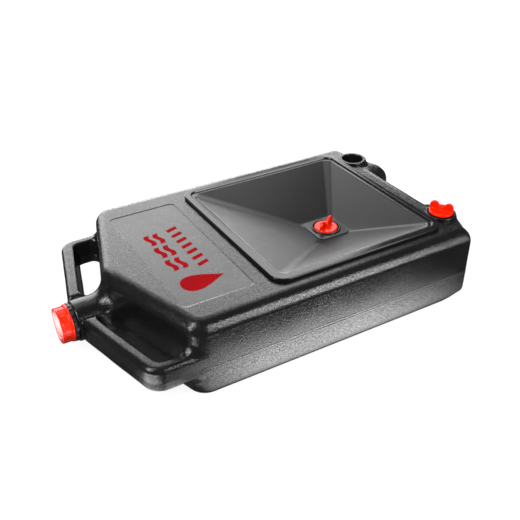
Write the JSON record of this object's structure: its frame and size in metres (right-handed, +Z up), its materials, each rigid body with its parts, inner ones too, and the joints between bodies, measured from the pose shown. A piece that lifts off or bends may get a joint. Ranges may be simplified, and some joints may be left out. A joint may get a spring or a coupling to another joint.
{
  "type": "waste oil drain container",
  "caption": "Low black drain container with a square funnel pan, winged drain and vent plugs, carrying handles and a screw-capped pouring neck.",
  "frame": {"origin": "under the middle of the container's bounding box, on the floor", "axes": "+X towards the rear feet, the pouring neck points to -X, +Z up"},
  "size_m": [0.667, 0.38, 0.1497],
  "materials": {
    "tank_black": "fine-grained satin black blow-moulded polyethylene",
    "pan_black": "smooth satin black injection-moulded plastic",
    "red_plastic": "bright orange-red moulded plastic, semi-gloss",
    "rubber": "black oil-resistant rubber",
    "liner_foam": "off-white closed-cell foam",
    "label_film": "black film with a plain dark red mark"
  },
  "bodies": {
    "tank": {"tank_body": "tank_black", "drain_pan": "pan_black", "pan_seal": "rubber", "drain_bush": "pan_black", "vent_bush": "tank_black", "plug_park_socket": "tank_black", "label": "label_film"},
    "drain_seal_ring": {"drain_plug_seal": "rubber"},
    "drain_plug_body": {"drain_plug": "red_plastic"},
    "vent_seal_ring": {"vent_plug_seal": "rubber"},
    "vent_plug_body": {"vent_plug": "red_plastic"},
    "cap_liner_disc": {"spout_cap_liner": "liner_foam"},
    "cap_body": {"spout_cap": "red_plastic"}
  },
  "joints": [
    {"name": "drain_plug_lift", "type": "slide", "parent": "tank", "child": "drain_seal_ring", "axis": [0, 0, 1], "range_m": [0, 0.0201]},
    {"name": "drain_plug_turn", "type": "hinge", "parent": "drain_seal_ring", "child": "drain_plug_body", "pos_m": [0.1415, 0, 0.0827], "axis": [0, 0, 1], "range_deg": [0, 1800]},
    {"name": "vent_plug_lift", "type": "slide", "parent": "tank", "child": "vent_seal_ring", "axis": [0, 0, 1], "range_m": [0, 0.0201]},
    {"name": "vent_plug_turn", "type": "hinge", "parent": "vent_seal_ring", "child": "vent_plug_body", "pos_m": [0.2845, -0.121, 0.1317], "axis": [0, 0, 1], "range_deg": [0, 1800]},
    {"name": "spout_cap_travel", "type": "slide", "parent": "tank", "child": "cap_liner_disc", "axis": [-1, 0, 0], "range_m": [0, 0.0151]},
    {"name": "spout_cap_turn", "type": "hinge", "parent": "cap_liner_disc", "child": "cap_body", "pos_m": [-0.32, 0, 0.058], "axis": [-1, 0, 0], "range_deg": [0, 1080]}
  ],
  "couplings": [
    {"joint": "drain_plug_lift", "follows": "drain_plug_turn", "m_per_rad": 0.00063662},
    {"joint": "vent_plug_lift", "follows": "vent_plug_turn", "m_per_rad": 0.00063662},
    {"joint": "spout_cap_travel", "follows": "spout_cap_turn", "m_per_rad": 0.00079577}
  ]
}
